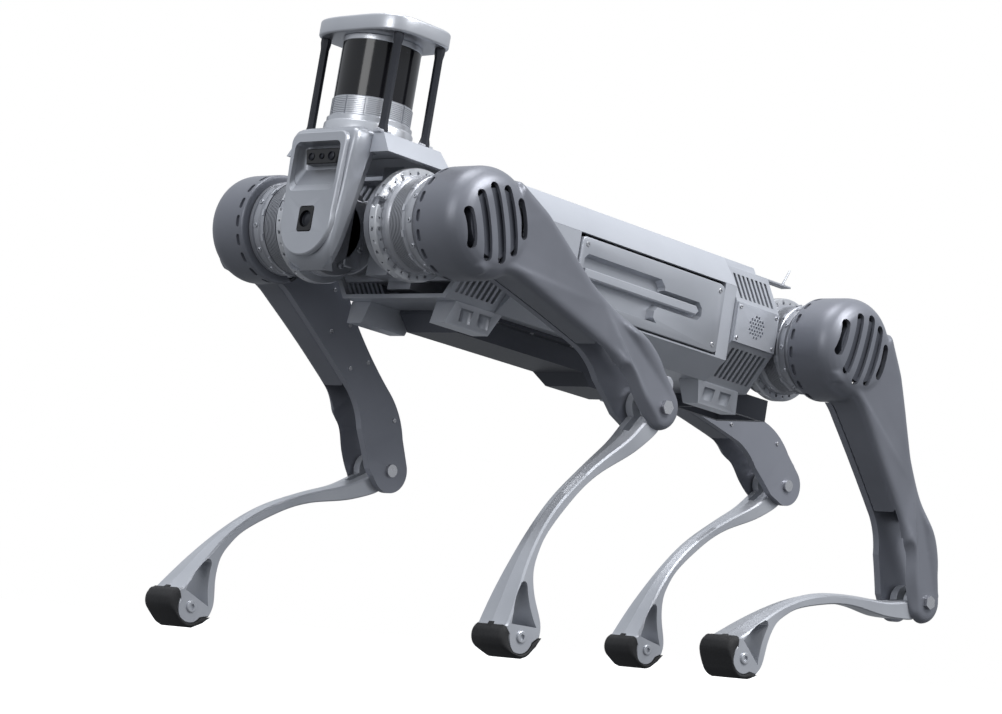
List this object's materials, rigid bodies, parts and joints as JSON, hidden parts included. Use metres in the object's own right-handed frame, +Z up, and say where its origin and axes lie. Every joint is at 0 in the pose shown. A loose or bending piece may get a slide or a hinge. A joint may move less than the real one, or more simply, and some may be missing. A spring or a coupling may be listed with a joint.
{
  "type": "quadruped robot",
  "caption": "Four-legged walking robot with a sensor mast on its head, vented hip motors, curved shins and a battery that slides out of its side.",
  "frame": {"origin": "centre of the bounding box's base, on the ground between the feet", "axes": "+X forward, +Y to the robot's left, +Z up; the body is pitched 5.6 degrees nose up"},
  "size_m": [1.1094, 0.4534, 0.7318],
  "materials": {
    "silver_shell": "matte silver paint",
    "grey_shell": "matte blue-grey paint",
    "face_panel": "satin light silver paint",
    "dark_casting": "matte dark grey coating",
    "bright_alloy": "fine bead-blasted aluminium",
    "black_post": "black anodised",
    "dark_window": "glossy black window",
    "motor_alloy": "turned aluminium",
    "battery_case": "black moulded plastic",
    "circuit_board": "green solder mask",
    "steel": "bright steel",
    "shin_alloy": "satin machined aluminium",
    "rubber": "matte black rubber"
  },
  "bodies": {
    "trunk": {"chassis": "silver_shell", "top_cover": "silver_shell", "end_housings": "silver_shell", "fan_plates": "silver_shell", "roll_motors": "motor_alloy", "control_board": "circuit_board", "belly_pan": "dark_casting", "rest_pads": "silver_shell", "rear_guard": "dark_casting", "head_shell": "silver_shell", "face_plate": "face_panel", "depth_camera": "dark_window", "front_camera": "dark_window", "sensor_deck": "silver_shell", "lidar_housing": "bright_alloy", "lidar_window": "dark_window", "guard_plate": "bright_alloy", "guard_posts": "black_post"},
    "battery": {"battery_case": "battery_case", "battery_door": "silver_shell"},
    "fl_hip": {"fl_hip_carrier": "motor_alloy", "fl_thigh_motor": "motor_alloy"},
    "fl_thigh": {"fl_thigh_shell": "grey_shell", "fl_thigh_inner_cover": "grey_shell", "fl_calf_motor": "dark_casting", "fl_knee_pin": "steel"},
    "fl_calf": {"fl_calf": "shin_alloy", "fl_foot": "rubber"},
    "fl_crank": {"fl_crank": "steel"},
    "fl_rod": {"fl_push_rod": "steel"},
    "fr_hip": {"fr_hip_carrier": "motor_alloy", "fr_thigh_motor": "motor_alloy"},
    "fr_thigh": {"fr_thigh_shell": "grey_shell", "fr_thigh_inner_cover": "grey_shell", "fr_calf_motor": "dark_casting", "fr_knee_pin": "steel"},
    "fr_calf": {"fr_calf": "shin_alloy", "fr_foot": "rubber"},
    "fr_crank": {"fr_crank": "steel"},
    "fr_rod": {"fr_push_rod": "steel"},
    "rl_hip": {"rl_hip_carrier": "motor_alloy", "rl_thigh_motor": "motor_alloy"},
    "rl_thigh": {"rl_thigh_shell": "grey_shell", "rl_thigh_inner_cover": "grey_shell", "rl_calf_motor": "dark_casting", "rl_knee_pin": "steel"},
    "rl_calf": {"rl_calf": "shin_alloy", "rl_foot": "rubber"},
    "rl_crank": {"rl_crank": "steel"},
    "rl_rod": {"rl_push_rod": "steel"},
    "rr_hip": {"rr_hip_carrier": "motor_alloy", "rr_thigh_motor": "motor_alloy"},
    "rr_thigh": {"rr_thigh_shell": "grey_shell", "rr_thigh_inner_cover": "grey_shell", "rr_calf_motor": "dark_casting", "rr_knee_pin": "steel"},
    "rr_calf": {"rr_calf": "shin_alloy", "rr_foot": "rubber"},
    "rr_crank": {"rr_crank": "steel"},
    "rr_rod": {"rr_push_rod": "steel"}
  },
  "joints": [
    {"name": "battery_slide", "type": "slide", "parent": "trunk", "child": "battery", "axis": [0, -1, 0], "range_m": [-0.27, 0]},
    {"name": "fl_hip_roll", "type": "hinge", "parent": "trunk", "child": "fl_hip", "pos_m": [0.44959, 0.072, 0.48818], "axis": [0.9953, 0, 0.0971], "range_deg": [-24, 24]},
    {"name": "fl_thigh_pitch", "type": "hinge", "parent": "fl_hip", "child": "fl_thigh", "pos_m": [0.44959, 0.1917, 0.48818], "axis": [0, 1, 0], "range_deg": [-119.4, 203.6]},
    {"name": "fl_knee", "type": "hinge", "parent": "fl_thigh", "child": "fl_calf", "pos_m": [0.147, 0.1917, 0.31229], "axis": [0, 1, 0], "range_deg": [-66.94, 54.66]},
    {"name": "fl_crank_turn", "type": "hinge", "parent": "fl_thigh", "child": "fl_crank", "pos_m": [0.44959, 0.1917, 0.48818], "axis": [0, 1, 0], "range_deg": [-66.94, 54.66]},
    {"name": "fl_rod_swing", "type": "hinge", "parent": "fl_crank", "child": "fl_rod", "pos_m": [0.42903, 0.1917, 0.51773], "axis": [0, 1, 0], "range_deg": [-54.66, 66.94]},
    {"name": "fr_hip_roll", "type": "hinge", "parent": "trunk", "child": "fr_hip", "pos_m": [0.44959, -0.072, 0.48818], "axis": [-0.9953, 0, -0.0971], "range_deg": [-24, 24]},
    {"name": "fr_thigh_pitch", "type": "hinge", "parent": "fr_hip", "child": "fr_thigh", "pos_m": [0.44959, -0.1917, 0.48818], "axis": [0, 1, 0], "range_deg": [-98.7, 224.3]},
    {"name": "fr_knee", "type": "hinge", "parent": "fr_thigh", "child": "fr_calf", "pos_m": [0.22871, -0.1917, 0.21668], "axis": [0, 1, 0], "range_deg": [-65.68, 55.92]},
    {"name": "fr_crank_turn", "type": "hinge", "parent": "fr_thigh", "child": "fr_crank", "pos_m": [0.44959, -0.1917, 0.48818], "axis": [0, 1, 0], "range_deg": [-65.68, 55.92]},
    {"name": "fr_rod_swing", "type": "hinge", "parent": "fr_crank", "child": "fr_rod", "pos_m": [0.41947, -0.1917, 0.5079], "axis": [0, 1, 0], "range_deg": [-55.92, 65.68]},
    {"name": "rl_hip_roll", "type": "hinge", "parent": "trunk", "child": "rl_hip", "pos_m": [-0.20431, 0.072, 0.42441], "axis": [0.9953, 0, 0.0971], "range_deg": [-24, 24]},
    {"name": "rl_thigh_pitch", "type": "hinge", "parent": "rl_hip", "child": "rl_thigh", "pos_m": [-0.20431, 0.1917, 0.42441], "axis": [0, 1, 0], "range_deg": [-28.7, 234.3]},
    {"name": "rl_knee", "type": "hinge", "parent": "rl_thigh", "child": "rl_calf", "pos_m": [-0.37469, 0.1917, 0.11868], "axis": [0, 1, 0], "range_deg": [-58, 63.6]},
    {"name": "rl_crank_turn", "type": "hinge", "parent": "rl_thigh", "child": "rl_crank", "pos_m": [-0.20431, 0.1917, 0.42441], "axis": [0, 1, 0], "range_deg": [-58, 63.6]},
    {"name": "rl_rod_swing", "type": "hinge", "parent": "rl_crank", "child": "rl_rod", "pos_m": [-0.239, 0.1917, 0.43405], "axis": [0, 1, 0], "range_deg": [-63.6, 58]},
    {"name": "rr_hip_roll", "type": "hinge", "parent": "trunk", "child": "rr_hip", "pos_m": [-0.20431, -0.072, 0.42441], "axis": [-0.9953, 0, -0.0971], "range_deg": [-24, 24]},
    {"name": "rr_thigh_pitch", "type": "hinge", "parent": "rr_hip", "child": "rr_thigh", "pos_m": [-0.20431, -0.1917, 0.42441], "axis": [0, 1, 0], "range_deg": [-63.6, 199.4]},
    {"name": "rr_knee", "type": "hinge", "parent": "rr_thigh", "child": "rr_calf", "pos_m": [-0.51897, -0.1917, 0.27115], "axis": [0, 1, 0], "range_deg": [-52.26, 69.34]},
    {"name": "rr_crank_turn", "type": "hinge", "parent": "rr_thigh", "child": "rr_crank", "pos_m": [-0.20431, -0.1917, 0.42441], "axis": [0, 1, 0], "range_deg": [-52.26, 69.34]},
    {"name": "rr_rod_swing", "type": "hinge", "parent": "rr_crank", "child": "rr_rod", "pos_m": [-0.2299, -0.1917, 0.44973], "axis": [0, 1, 0], "range_deg": [-69.34, 52.26]}
  ],
  "couplings": [
    {"joint": "fl_crank_turn", "follows": "fl_knee", "ratio": 1},
    {"joint": "fl_rod_swing", "follows": "fl_knee", "ratio": -1},
    {"joint": "fr_crank_turn", "follows": "fr_knee", "ratio": 1},
    {"joint": "fr_rod_swing", "follows": "fr_knee", "ratio": -1},
    {"joint": "rl_crank_turn", "follows": "rl_knee", "ratio": 1},
    {"joint": "rl_rod_swing", "follows": "rl_knee", "ratio": -1},
    {"joint": "rr_crank_turn", "follows": "rr_knee", "ratio": 1},
    {"joint": "rr_rod_swing", "follows": "rr_knee", "ratio": -1}
  ]
}
